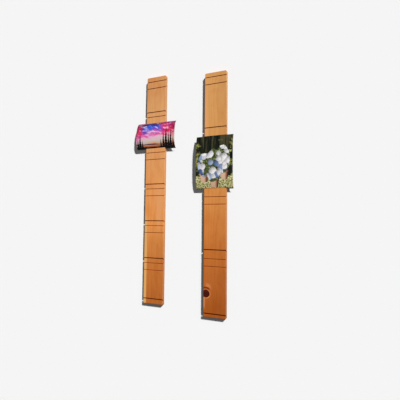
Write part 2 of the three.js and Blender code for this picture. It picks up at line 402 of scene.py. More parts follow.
def start_group(
    effect: Effect, numbers: Sequence[str], outputs: Sequence[str]
) -> tuple[Graph, tuple[Field, Field, Field], dict[str, Field], bpy.types.Node]:
    """Starts an effect's shader node group, with a Place for its first input.

    Args:
        effect: The effect.
        numbers: The names of its other inputs, all numbers.
        outputs: The names of its outputs, all numbers.

    Returns:
        The group's graph, the coordinates of the Place, the numbers by name and the output node.
    """
    tree = bpy.data.node_groups.new(effect.value, "ShaderNodeTree")
    tree.interface.new_socket("Place", in_out="INPUT", socket_type="NodeSocketVector")
    for way, labels in (("INPUT", numbers), ("OUTPUT", outputs)):
        for label in labels:
            tree.interface.new_socket(label, in_out=way, socket_type="NodeSocketFloat")
    graph = Graph(tree)
    start = tree.nodes.new("NodeGroupInput").outputs
    given = {label: Field(graph, start[label]) for label in numbers}
    return graph, graph.split(start["Place"]), given, tree.nodes.new("NodeGroupOutput")


def make_figure() -> bpy.types.NodeTree:
    """Makes the figure of sawn timber, as a solid pattern in millimetres with the trunk along Z.

    A ring's number is the distance from the pith, sqrt((x - px)^2 + (y - py)^2), bent by slow
    noise and pushed outwards round the knot by a bell curve of the distance from it, over the
    ring width. Its fraction rises slowly through the early wood, then drops after the dark
    late wood. Fibres and pores are noise drawn out along Z. The knot's middle moves sideways
    with the depth behind the face, as a leaning branch does.

    Returns:
        The group: Late Wood, Fibre, Streak, Pores, and Knot, which is 1 at the knot's rim.
    """
    numbers = ("Pith X", "Pith Y", "Ring Width", "Knot X", "Knot Z", "Knot Radius")
    outputs = ("Late Wood", "Fibre", "Streak", "Pores", "Knot")
    graph, at, given, end = start_group(Effect.FIGURE, numbers, outputs)
    x, y, z = at

    sway = graph.grain(at, (0.02, 0.02, 0.0045), 2) - 0.5
    ripple = graph.grain(at, (0.11, 0.11, 0.012), 2) - 0.5
    wobble = graph.grain(at, (0.13, 0.13, 0.13), 2) - 0.5
    face_depth, knot_lean = 12.5, 0.15
    across = (x - given["Knot X"] + (y + face_depth) * knot_lean) / given["Knot Radius"]
    up = (z - given["Knot Z"]) / given["Knot Radius"]
    knot = (across * across + up * up) ** 0.5 + wobble * 0.16
    bulge = graph.math("EXPONENT", knot * knot * -0.26)

    pith_x = x - given["Pith X"]
    pith_y = y - given["Pith Y"]
    distance = (pith_x * pith_x + pith_y * pith_y) ** 0.5
    radius = distance + z * 0.006 + sway * 16.0 + ripple * 1.1 + bulge * given["Knot Radius"] * 1.4
    ring = (radius / given["Ring Width"]).fraction()
    late = ring.rise(0.30, 0.86) * ring.rise(1.0, 0.88)

    fine = graph.grain(at, (1.9, 1.9, 0.035), 3, 0.6)
    broad = graph.grain(at, (0.16, 0.16, 0.0035), 3, 0.55)
    pore = graph.grain(at, (4.0, 4.0, 0.30), 1).rise(0.66, 0.76)

    for label, value in zip(outputs, (late, fine, broad, pore, knot)):
        graph.put(end.inputs[label], value)
    return graph.tree


def make_rubbed() -> bpy.types.NodeTree:
    """Makes the marks of handling: faint smears and hairline scratches.

    Smears are slow noise. A scratch is where a thin band of noise, drawn out along a slanted
    line, crosses its middle value.

    Returns:
        The group, with a Place in millimetres and the masks Smear and Scratch.
    """
    graph, at, _, end = start_group(Effect.RUBBED, (), ("Smear", "Scratch"))
    x, y, z = at
    smear = graph.grain(at, (0.09, 0.09, 0.07), 4, 0.6).rise(0.35, 0.7)
    slant = graph.noise(graph.vector(x * 0.9 + z * 0.5, y * 0.6, z * 0.06 - x * 0.04), 2)
    scratch = (slant - 0.5).size().rise(0.012, 0.0)
    graph.put(end.inputs["Smear"], smear)
    graph.put(end.inputs["Scratch"], scratch * smear)
    return graph.tree


EFFECT_MAKERS = {Effect.FIGURE: make_figure, Effect.RUBBED: make_rubbed}


@dataclass(frozen=True)
class BoardPlace:
    """A place on a board, with masks of the board's parts.

    Millimetres: x across and z up from the board's middle, and y from its back, below 0 towards
    the face. Half is half the board's size. The recesses' sizes are half a width, half a length
    and a depth; blur is half the width of their mask's edge.
    """

    graph: Graph
    x: Field
    y: Field
    z: Field
    half: Vector
    depth: float
    hanger_from_middle: float = 311.0
    recess: tuple[float, float, float] = (8.8, 23.8, 6.7)
    blur: float = 0.2

    def grain(self, scales: tuple[float, float, float], *more: float) -> Field:
        """Fractal noise with a scale of its own along each axis; more is as in Graph.noise."""
        return self.graph.grain((self.x, self.y, self.z), scales, *more)

    def grooves(self) -> Field:
        """Finds the walls of the saw grooves: deeper than the face, and not the outside.

        Returns:
            Their mask.
        """
        sunk = (self.y + self.depth).rise(0.05, 0.8) * self.y.rise(-0.9, -1.6)
        across = self.x.size().rise(self.half.x - 0.02, self.half.x - 0.25)
        along = self.z.size().rise(self.half.z - 0.1, self.half.z - 1.0)
        return sunk * across * along

    def recesses(self) -> Field:
        """Finds the unoiled recesses that hold the hangers, let into the back near both ends.

        Returns:
            Their mask.
        """
        half_width, half_length, deep = self.recess
        across = self.x.size().rise(half_width + self.blur, half_width - self.blur)
        from_hanger = (self.z.size() - self.hanger_from_middle).size()
        along = from_hanger.rise(half_length + self.blur, half_length - self.blur)
        return across * along * self.y.rise(-deep - self.blur, -deep + self.blur)

    def worn_edges_and_highlight(self) -> Field:
        """Mask of the rounded long front edges: oil worn by handling, and a painted highlight."""
        edge = self.x.size().rise(self.half.x - 1.6, self.half.x - 0.2)
        return edge * (self.y + self.depth).rise(1.4, 0.0)


@dataclass(frozen=True)
class OiledWood:
    """Honey-coloured softwood under oil, sawn from one place in the trunk.

    Lengths are millimetres from the board's middle; tones are by height, 0 at the bottom. Lean
    is the share by which the wood darkens for each millimetre to the right, at the bottom and
    at the top. The pale patch is the middle and the half sizes, across and up, of a soft area of
    lighter wood. Sapwood is the width of the pale strip at the left edge, less than 0 for none.
    """

    name: str
    tones: Stops
    pith: tuple[float, float]
    ring_width: float
    knot: tuple[float, float]
    knot_radius: float
    sapwood: float
    knot_shows: bool
    lean: tuple[float, float]
    pale_patch: tuple[float, float, float, float]

    def material(self, low: Vector, high: Vector) -> Material:
        """Makes the finish for a board.

        Args:
            low: The board's lowest corner, in metres.
            high: The board's highest corner.

        Returns:
            The material, on Object coordinates.
        """
        material, graph = new_material(self.name)
        centre = (low + high) / 2
        place = graph.millimetres(centre.x, centre.z)
        at = BoardPlace(graph, *graph.split(place), (high - low) / 2 / MM, (high.y - low.y) / MM)
        figure = Effect.FIGURE.place(
            graph,
            Place=place,
            Pith_X=self.pith[0],
            Pith_Y=self.pith[1],
            Ring_Width=self.ring_width,
            Knot_X=self.knot[0],
            Knot_Z=self.knot[1],
            Knot_Radius=self.knot_radius,
        )
        late, fibre, streak = figure["Late Wood"], figure["Fibre"], figure["Streak"]
        rubbed = Effect.RUBBED.place(graph, Place=place)

        recess = at.recesses()
        inside = at.grooves() * (1.0 - recess)
        back = at.y.rise(-0.6, -0.2).larger(recess)
        saw_marks = (at.z * 2.6 + streak * 5.0).sine() * 0.5 + 0.5
        colour = self.worked(at, self.grown(at, figure), inside, back, saw_marks)

        roughness = 0.40 + fibre * 0.14 + late * -0.06 + inside * 0.3 + back * 0.3
        roughness = roughness + rubbed["Smear"] * 0.05
        relief = fibre * 0.05 + late * 0.03 - figure["Pores"] * 0.05 + back * saw_marks * 0.06
        relief = relief - rubbed["Scratch"] * 0.02
        graph.surface(
            Base_Color=colour,
            Roughness=roughness.smaller(0.95),
            Normal=graph.bump(relief, 0.8),
            Specular_IOR_Level=0.28,
        )
        return material

    def grown(self, at: BoardPlace, figure: dict[str, Field]) -> Socket:
        """Colour of the wood as it grew: its tones, clouds, rings, fibres, sapwood and knot.

        Args:
            at: The place on the board.
            figure: The outputs of the timber figure.

        Returns:
            The colour under its oil, the same on every face.
        """
        graph, fibre, streak = at.graph, figure["Fibre"], figure["Streak"]
        drift = at.grain((0.03, 0.03, 0.008), 2) - 0.5
        height = (at.z + at.half.z) / (2 * at.half.z) + drift * 0.10
        lean = height * (self.lean[1] - self.lean[0]) + self.lean[0]
        cloud = at.grain((0.055, 0.055, 0.026), 3, 0.55, 0.6)
        colour = graph.ramp(height, self.tones)
        for share, tint in (
            (1.0, graph.grey(1.0 - at.x * lean)),
            (1.0, graph.grey(0.90 + cloud * 0.20)),
            (cloud.rise(0.48, 0.30) * 0.30, tone(255, 230, 194)),
            (figure["Late Wood"] * 0.20, tone(226, 178, 140)),
            (1.0, graph.grey(0.93 + streak * 0.14)),
            (streak.rise(0.5, 0.75) * 0.25, tone(255, 226, 190)),
            (1.0, graph.grey(0.965 + fibre * 0.07)),
            (figure["Pores"] * 0.45, tone(190, 130, 90)),
        ):
            colour = graph.mix(share, colour, tint, "MULTIPLY")

        patch = self.patch_mask(at, cloud) * 0.6
        colour = graph.mix(patch, colour, graph.shade(tone(228, 162, 108), 0.96 + streak * 0.08))
        pale = self.sapwood_mask(at, streak)
        colour = graph.mix(pale, colour, graph.shade(tone(224, 172, 104), 0.92 + fibre * 0.12))
        if self.knot_shows:
            colour = self.knotted(at, colour, figure["Knot"])
        return colour

    @staticmethod
    def worked(
        at: BoardPlace, colour: Socket, inside: Field, back: Field, saw_marks: Field
    ) -> Socket:
        """Colour where the board was sawn, left without oil or worn, with painted light and shade.

        Groove walls are multiplied by a darker tone, painted shade, and those that face down by a
        redder one, painted bounce light from the wood. Side faces are mixed towards a paler tone,
        painted light, and the worn front edges are lightened partly as a painted highlight.

        Args:
            at: The place on the board.
            colour: The wood so far.
            inside: Mask of the groove walls.
            back: Mask of the unoiled wood, the back and the hangers' recesses.
            saw_marks: The saw's ripple, 0 to 1.

        Returns:
            The finished colour.
        """
        graph = at.graph
        facing = graph.split(graph.node("TexCoord").outputs["Normal"])
        # Painted shade in the grooves, and painted red bounce light on the groove walls that face
        # down.
        groove_shade_and_bounce = graph.mix(facing[2].rise(0.1, -0.3), tone(225, 174, 142), tone(255, 130, 60))
        colour = graph.mix(inside, colour, groove_shade_and_bounce, "MULTIPLY")
        # Painted light: the side faces, the same wood as the front, are mixed towards a paler
        # grey-brown.
        sides = facing[0].size().rise(0.8, 0.95)
        colour = graph.mix(sides * 0.25, colour, tone(170, 140, 112))
        ends = facing[2].size().rise(0.8, 0.95)
        colour = graph.mix(ends, colour, tone(205, 170, 140), "MULTIPLY")
        colour = graph.mix(back * 0.7, colour, tone(226, 196, 158))
        colour = graph.shade(colour, 1.0 - back * saw_marks * 0.07)
        # Worn oil and a painted highlight: the rounded front edges are lightened by a tenth.
        colour = graph.shade(colour, 1.0 + at.worn_edges_and_highlight() * 0.10)
        return graph.dim_bounce(colour, sides * 0.85)

    def patch_mask(self, at: BoardPlace, cloud: Field) -> Field:
        """Finds the pale patch: 1 in its middle, falling to 0 at its ragged edge.

        Args:
            at: The place on the board.
            cloud: The slow noise that makes its edge ragged.

        Returns:
            Its mask.
        """
        across, up, half_width, half_height = self.pale_patch
        right = (at.x - across) / half_width
        above = (at.z - up) / half_height
        return (right * right + above * above + (cloud - 0.5) * 1.6).rise(1.2, 0.2)

    def sapwood_mask(self, at: BoardPlace, streak: Field) -> Field:
        """Mask of the sapwood: a strip of set width along the left edge, in the lower half."""
        edge = at.x + at.half.x - self.sapwood + streak * -3.0 + 1.5
        return edge.rise(1.2, -1.2) * (at.z + streak * 60.0).rise(-40.0, -100.0) * 0.9

    def knotted(self, at: BoardPlace, colour: Socket, knot: Field) -> Socket:
        """Puts the knot on: a dark red core in a pale rim, with bark and bright wood above it.

        A ring round the core is where the distance from the knot's middle is near a set number
        of its radii. A flare of pale wood hangs below it.

        Args:
            at: The place on the board.
            colour: The wood so far.
            knot: Distance from the knot's middle, 1 at its rim.

        Returns:
            The colour with the knot.
        """
        graph, face = at.graph, (at.x, at.z)
        right = (at.x - self.knot[0]) / self.knot_radius
        up = (at.z - self.knot[1]) / self.knot_radius
        above = up.rise(0.2, 0.8)
        flare = right.rise(-0.05, -0.5) * up.rise(-0.8, -1.3) * up.rise(-4.4, -2.8)
        colour = graph.mix(flare * 0.6, colour, tone(220, 154, 102))
        patchy = graph.grain(face, (0.12, 0.12), 2).rise(0.40, 0.62)
        bright = up.rise(0.8, 1.7) * right.rise(-0.3, 0.3) * right.rise(2.0, 0.6) * 0.5
        bark = above * right.rise(1.25, 0.65) * 0.92
        rim = above * -0.25 + patchy * 0.35 + 0.40
        for distance, width, share, tint in (
            (2.08, 0.80, bright, tone(226, 142, 88)),
            (1.47, 0.40, bark, tone(112, 42, 4)),
            (1.14, 0.18, rim, tone(236, 146, 92)),
        ):
            ring = (knot - distance).size().rise(width, width * 0.2)
            colour = graph.mix(ring * share, colour, tint)
        rings = ((knot * 26.0).sine() * 0.5 + 0.5) * knot.rise(0.1, 0.4)
        core = graph.mix(rings * 0.4, tone(62, 9, 1), tone(100, 24, 5))
        core = graph.mix(above * 0.5, core, tone(104, 34, 12))
        crack = graph.grain(face, (0.7, 0.25), 2).rise(0.56, 0.62)
        core = graph.mix(crack * 0.6, core, tone(24, 6, 1))
        return graph.mix(knot.rise(1.05, 0.95), colour, core)


@dataclass(frozen=True)
class Zinc:
    """Bright zinc plating with a faint crystal pattern and handling marks."""

    name: str
    roughness: float
    crystal: float

    def material(self) -> Material:
        """Makes the finish; crystal is the size of a crystal in millimetres.

        Returns:
            The material, on Object coordinates.
        """
        material, graph = new_material(self.name)
        place = graph.millimetres()
        rubbed = Effect.RUBBED.place(graph, Place=place)
        _, crystal = graph.cells(place, scale=1 / self.crystal)
        grain = graph.noise(place, 3, 0.6, scale=2.2)
        colour = graph.mix(crystal, tone(176, 176, 172), tone(205, 204, 198))
        colour = graph.mix(rubbed["Smear"] * 0.35, colour, tone(150, 148, 140))
        roughness = self.roughness + crystal * 0.12 + grain * 0.10 - rubbed["Scratch"] * 0.12
        relief = grain * 0.02 - rubbed["Scratch"] * 0.02
        graph.surface(
            Base_Color=colour, Roughness=roughness, Normal=graph.bump(relief, 0.6), Metallic=1.0
        )
        return material


@dataclass(frozen=True)
class PrintPlace:
    """A place on a print: u across and v up, 0 to 1, and wide across in print heights."""

    graph: Graph
    u: Field
    v: Field
    wide: Field

    def grain(self, scales: tuple[float, float], *more: float) -> Field:
        """Fractal noise with a scale of its own across and up; more is as in Graph.noise."""
        return self.graph.grain((self.wide, self.v), scales, *more)


@dataclass(frozen=True)
class DuskLake:
    """A lake between firs under drifting violet, blue and crimson evening clouds.

    Heights are shares of the print's height, and places across are shares of its width. A fir
    is the place of its stem, the height of its top and half its width at the foot.
    """

    aspect: float = 1.5
    horizon: float = 0.17
    shore: float = 0.05
    sky: Stops = (
        (0.10, tone(238, 132, 66)),
        (0.21, tone(230, 186, 154)),
        (0.33, tone(214, 200, 194)),
        (0.43, tone(232, 172, 198)),
        (0.54, tone(222, 94, 162)),
        (0.66, tone(112, 66, 176)),
        (0.76, tone(52, 92, 200)),
        (0.84, tone(28, 44, 132)),
        (0.93, tone(60, 26, 96)),
    )
    water: Stops = (
        (0.32, tone(60, 26, 40)),
        (0.50, tone(206, 104, 62)),
        (0.68, tone(238, 176, 128)),
    )
    firs: Sequence[tuple[float, float, float]] = (
        (0.045, 0.40, 0.040),
        (0.105, 0.56, 0.050),
        (0.165, 0.34, 0.036),
        (0.655, 0.36, 0.036),
        (0.720, 0.62, 0.046),
        (0.785, 0.80, 0.054),
        (0.850, 0.58, 0.044),
        (0.905, 0.69, 0.046),
        (0.965, 0.44, 0.040),
    )

    def paint(self, at: PrintPlace) -> Socket:
        """Draws the picture from the back to the front.

        Args:
            at: The place on the print.

        Returns:
            Its colour.
        """
        colour = self.land(at, self.evening(at))
        edge = at.grain((60.0, 60.0), 2) - 0.5
        for fir in self.firs:
            colour = at.graph.mix(self.fir(at, edge, *fir), colour, tone(11, 7, 13))
        return colour

    def evening(self, at: PrintPlace) -> Socket:
        """Draws the sky: bands of colour bent by the clouds, embers, a glow and dark wisps.

        Args:
            at: The place on the print.

        Returns:
            Its colour.
        """
        graph, u, v, wide = at.graph, at.u, at.v, at.wide
        cloud = graph.noise(graph.vector(wide * 1.7 + v * 0.9, v * 2.9 + 4.0), 6, 0.6, 0.6)
        wisp = graph.noise(graph.vector(wide * 4.2 + v * 3.0, v * 9.0), 5, 0.64, 0.5)
        colour = graph.ramp(v + (0.5 - u) * 0.24 + (cloud - 0.5) * 0.62, self.sky)
        ember = (cloud + (u - 0.42).size() * 0.5 + v * 0.12).rise(0.66, 0.84) * v.rise(0.34, 0.52)
        above = v - 0.62
        slant = (u - 0.36) * 1.5 + above
        glow = slant * slant + above * above
        pale = (wisp - 0.5).rise(0.02, 0.17) * v.rise(0.36, 0.56)
        pale = pale + (wisp - glow * 3.2).rise(0.34, 0.62) * 0.7
        dark = wisp.rise(0.46, 0.30) * v.rise(0.45, 0.75)
        corner = ((u - 0.5).size() * 1.4 + v * 0.9).rise(0.98, 1.50)
        for share, tint in (
            (ember * 0.9, tone(230, 30, 74)),
            (pale.smaller(1.0) * 0.75, tone(232, 206, 240)),
            (dark * 0.75, tone(48, 14, 74)),
            (corner * 0.70, tone(66, 14, 50)),
        ):
            colour = graph.mix(share, colour, tint)
        strokes = at.grain((34.0, 34.0), 4, 0.7) - 0.5
        return graph.shade(colour, 1.0 + strokes * v.rise(0.3, 0.6) * 0.9)

    def land(self, at: PrintPlace, colour: Socket) -> Socket:
        """Draws the far hills, the lake below the horizon and the dark near shore.

        Args:
            at: The place on the print.
            colour: The sky.

        Returns:
            The colour with them.
        """
        graph, v, wide, horizon = at.graph, at.v, at.wide, self.horizon
        ridge = v - horizon - graph.noise(graph.vector(wide * 2.6, 3.7), 3) * 0.07
        hills = ridge.rise(0.008, -0.008) * v.rise(horizon - 0.006, horizon + 0.006)
        colour = graph.mix(hills, colour, tone(84, 40, 66))
        lake = graph.ramp(at.grain((5.0, 90.0), 3, 0.6) + (v - 0.11) * 3.0, self.water)
        colour = graph.mix(v.rise(horizon, horizon - 0.012), colour, lake)
        bank = v - self.shore - graph.noise(graph.vector(wide * 9.0, 1.3), 4, 0.65) * 0.09
        return graph.mix(bank.rise(0.006, -0.006), colour, tone(9, 6, 9))

    def fir(self, at: PrintPlace, edge: Field, stem: float, top: float, spread: float) -> Field:
        """Finds one fir on the shore: a triangle with drooping tiers.

        Half its width at height t, 0 at the foot and 1 at the top, is spread * (1 - t) * (0.6 +
        0.4 * the falling fraction of 7 * t), plus a little noise.

        Args:
            at: The place on the print.
            edge: The noise that makes its edge ragged.
            stem: Where its stem is, across.
            top: How high its top is.
            spread: Half its width at the foot.

        Returns:
            Its mask.
        """
        share = (at.v - self.shore) / (top - self.shore)
        tiers = 1.0 - (share * 7.0).fraction()
        reach = (1.0 - share) * (0.60 + tiers * 0.4) * spread + edge * 0.02
        return ((at.u - stem).size() - reach).rise(0.004, -0.004) * at.v.rise(top, top - 0.01)


@dataclass(frozen=True)
class PottedHydrangeas:
    """White and blue hydrangeas in clay pots on pale grass, before dark woods.

    Lengths are print heights. A pot is its middle across, the height of its rim and half its
    width there. A shrub is a ragged ellipse: its middle, its half sizes and how blue its
    flowers are. Heads is how many flower heads stand along one print height.
    """

    aspect: float = 0.714
    heads: float = 9.5
    woods: Stops = (
        (0.34, tone(7, 9, 6)),
        (0.50, tone(24, 28, 17)),
        (0.62, tone(66, 62, 40)),
        (0.74, tone(36, 29, 21)),
    )
    lit_leaves: Stops = (
        (0.36, tone(36, 44, 18)),
        (0.50, tone(112, 116, 50)),
        (0.62, tone(186, 184, 104)),
    )
    grass: Stops = (
        (0.36, tone(58, 60, 26)),
        (0.46, tone(150, 148, 82)),
        (0.56, tone(214, 208, 152)),
        (0.70, tone(240, 236, 210)),
    )
    clay: Stops = (
        (0.30, tone(74, 40, 30)),
        (0.62, tone(160, 108, 80)),
        (0.95, tone(218, 178, 152)),
    )
    leaves: Stops = (
        (0.36, tone(24, 32, 14)),
        (0.52, tone(74, 88, 44)),
        (0.66, tone(164, 170, 104)),
    )
    petals: Stops = (
        (0.30, tone(252, 250, 248)),
        (0.46, tone(244, 240, 246)),
        (0.56, tone(176, 192, 224)),
        (0.68, tone(110, 138, 188)),
        (0.84, tone(66, 88, 144)),
    )
    pots: Sequence[tuple[float, float, float]] = (
        (0.165, 0.30, 0.085),
        (0.555, 0.34, 0.080),
        (0.365, 0.22, 0.092),
    )
    shrubs: Sequence[tuple[float, float, float, float, float]] = (
        (0.17, 0.46, 0.135, 0.22, 0.24),
        (0.53, 0.55, 0.130, 0.26, -0.05),
        (0.35, 0.44, 0.170, 0.30, 0.12),
    )

    def paint(self, at: PrintPlace) -> Socket:
        """Draws the picture from the back to the front.

        Args:
            at: The place on the print.

        Returns:
            Its colour.
        """
        leaf = at.grain((24.0, 24.0), 4, 0.68, 0.6)
        colour = self.ground(at, leaf)
        for pot in self.pots:
            mask, shade = self.pot(at, *pot)
            colour = at.graph.mix(mask, colour, at.graph.ramp(shade, self.clay))
        return self.planted(at, leaf, colour)

    def ground(self, at: PrintPlace, leaf: Field) -> Socket:
        """Draws the woods, the lit leaves before them and the lawn.

        Args:
            at: The place on the print.
            leaf: The noise of the leaves.

        Returns:
            Their colour.
        """
        graph, v, wide = at.graph, at.v, at.wide
        colour = graph.ramp(at.grain((17.0, 1.6), 4, 0.6, 0.4), self.woods)
        clump = graph.noise(graph.vector(wide * 4.6, v * 4.6 + 7.0), 3)
        sides = (at.u - 0.5).size().rise(0.18, 0.46)
        lit = (clump + sides * 0.10 - v * 0.06 + leaf * 0.25).rise(0.66, 0.76) * v.rise(0.97, 0.80)
        colour = graph.mix(lit, colour, graph.ramp(leaf, self.lit_leaves))
        frond = graph.noise(graph.vector(wide * 36.0 + v * 20.0, v * 30.0 - wide * 12.0), 3, 0.6)
        lawn = graph.noise(graph.vector(wide * 7.0, 2.0), 3) * 0.10 + 0.20 - v + (leaf - 0.5) * 0.08
        return graph.mix(lawn.rise(-0.01, 0.01), colour, graph.ramp(frond, self.grass))

    def pot(self, at: PrintPlace, middle: float, rim: float, half: float) -> tuple[Field, Field]:
        """Finds one round pot, seen from the side.

        Half its width is half * (0.72 + 0.28 * height share), and half * 0.1 more at the rim.

        Args:
            at: The place on the print.
            middle: Where its middle is, across.
            rim: How high its rim is.
            half: Half its width near the rim.

        Returns:
            Its mask, and its light and shade from 0 to 1.
        """
        foot = rim - half * 1.9
        share = (at.v - foot) / (rim - foot)
        band = share.rise(0.76, 0.80)
        offset = (at.wide - middle) / (half * (share * 0.28 + 0.72 + band * 0.10))
        mask = offset.size().rise(1.02, 0.98) * share.rise(-0.02, 0.02) * share.rise(1.02, 0.98)
        shade = 1.0 - (offset + 0.35) * (offset + 0.35) * 0.5
        shade = shade - share.rise(0.70, 0.78) * (1.0 - band) * 0.3
        return mask, shade + at.grain((60.0, 40.0), 3) * 0.2 - 0.1

    def planted(self, at: PrintPlace, leaf: Field, colour: Socket) -> Socket:
        """Draws the shrubs: leaves over a ragged ellipse, and flower heads on them.

        Args:
            at: The place on the print.
            leaf: The noise of the leaves.
            colour: The picture so far.

        Returns:
            The colour with them.
        """
        graph = at.graph
        ragged = (at.grain((15.0, 15.0), 4, 0.6) - 0.5) * 0.60
        heads, light, chance = self.blossom(at)
        green = graph.ramp(leaf, self.leaves)
        for middle, up, half_width, half_height, blue in self.shrubs:
            across = (at.wide - middle) / half_width
            high = (at.v - up) / half_height
            reach = across * across + high * high + ragged
            tint = graph.ramp(chance * 0.55 + blue - high * 0.14 + 0.05, self.petals)
            bloom = graph.shade(tint, light.larger(0.05).smaller(1.0))
            shrub = graph.mix(heads * reach.rise(1.0, 0.9), green, bloom)
            colour = graph.mix(reach.rise(1.04, 0.96), colour, shrub)
        return colour

    def blossom(self, at: PrintPlace) -> tuple[Field, Field, Field]:
        """Finds round flower heads, one to a cell of a Voronoi pattern, each of small florets.

        A head covers its cell up to 0.7 of a unit from the middle. Its light is how much the
        distance from the middle changes over a short step towards the light, up and left, plus
        a rounded falloff, and each floret is a finer cell with a dark seam.

        Args:
            at: The place on the print.

        Returns:
            Their mask, the light from 0 to 1, and a random number for each head.
        """
        graph, wide, v, scale = at.graph, at.wide, at.v, self.heads
        bend = (at.grain((20.0, 20.0), 2) - 0.5) * 0.02
        distance, chance = graph.cells(graph.vector(wide + bend, v - bend), scale=scale)
        left, raised, stride = 0.012, 0.014, 0.0184
        towards, _ = graph.cells(graph.vector(wide + bend - left, v - bend + raised), scale=scale)
        seam, _ = graph.cells(graph.vector(wide, v), "DISTANCE_TO_EDGE", scale=scale * 6.5)
        facing = (distance - towards) * (1.0 / (scale * stride))
        light = 0.62 + facing * distance * 0.75 - distance * distance * 0.5
        light = light + seam.rise(0.0, 0.20) * 0.32
        return distance.rise(0.72, 0.66), light, chance


class Picture(Enum):
    """The generic pictures on the prints, each named as its material slot."""

    DUSK = "dusk_print"
    GARDEN = "garden_print"

    def paint(self, graph: Graph, u: Field, v: Field) -> Socket:
        """Draws the picture for a place on the print, u and v from 0 to 1."""
        scene = DuskLake() if self is Picture.DUSK else PottedHydrangeas()
        return scene.paint(PrintPlace(graph, u, v, u * scene.aspect))


@dataclass(frozen=True)
class PrintPaper:
    """Glossy photographic paper: a picture in front, plain white behind and at the edges."""

    picture: Picture

    def front(self) -> Material:
        """Makes the picture side.

        Returns:
            The material, on the sheet's own UV map.
        """
        material, graph = new_material(self.picture.value + "_front")
        sheet = graph.node("UVMap", uv_map="picture").outputs[0]
        u, v, _ = graph.split(sheet)
        place = graph.node("Mapping", {"Vector": sheet, "Scale": (150.0, 150.0, 1.0)}).outputs[0]
        rubbed = Effect.RUBBED.place(graph, Place=place)
        graph.surface(
            Base_Color=self.picture.paint(graph, u, v),
            Roughness=0.18 + rubbed["Smear"] * 0.07 + rubbed["Scratch"] * 0.2,
            Specular_IOR_Level=0.5,
        )
        return material

    def back(self) -> Material:
        """Makes the white side and the edges, with the paper's faint mottle.

        Returns:
            The material, on Object coordinates.
        """
        material, graph = new_material(self.picture.value + "_back")
        place = graph.millimetres()
        mottle = graph.noise(place, 4, 0.6, scale=0.35)
        rubbed = Effect.RUBBED.place(graph, Place=place)
        colour = graph.mix(mottle, tone(226, 225, 220), tone(240, 239, 235))
        colour = graph.mix(rubbed["Smear"] * 0.12, colour, tone(206, 202, 194))
        graph.surface(
            Base_Color=graph.dim_bounce(colour, 0.85),
            Roughness=0.5 + mottle * 0.2,
            Normal=graph.bump(graph.noise(place, 3, scale=3.0) * 0.01, 0.5),
        )
        return material


def add_mesh(
    name: str, points: np.ndarray, faces: np.ndarray, materials: Sequence[Material]
) -> bpy.types.Object:
    """Adds a mesh object at the origin.

    Args:
        name: Its name.
        points: An array of places, n by 3.
        faces: An array of corner numbers, n by 4.
        materials: Its materials, in slot order.

    Returns:
        The object, linked to the scene.
    """
    mesh = bpy.data.meshes.new(name)
    mesh.from_pydata(points.tolist(), [], faces.tolist())
    for material in materials:
        mesh.materials.append(material)
    made = bpy.data.objects.new(name, mesh)
    bpy.context.scene.collection.objects.link(made)
    return made


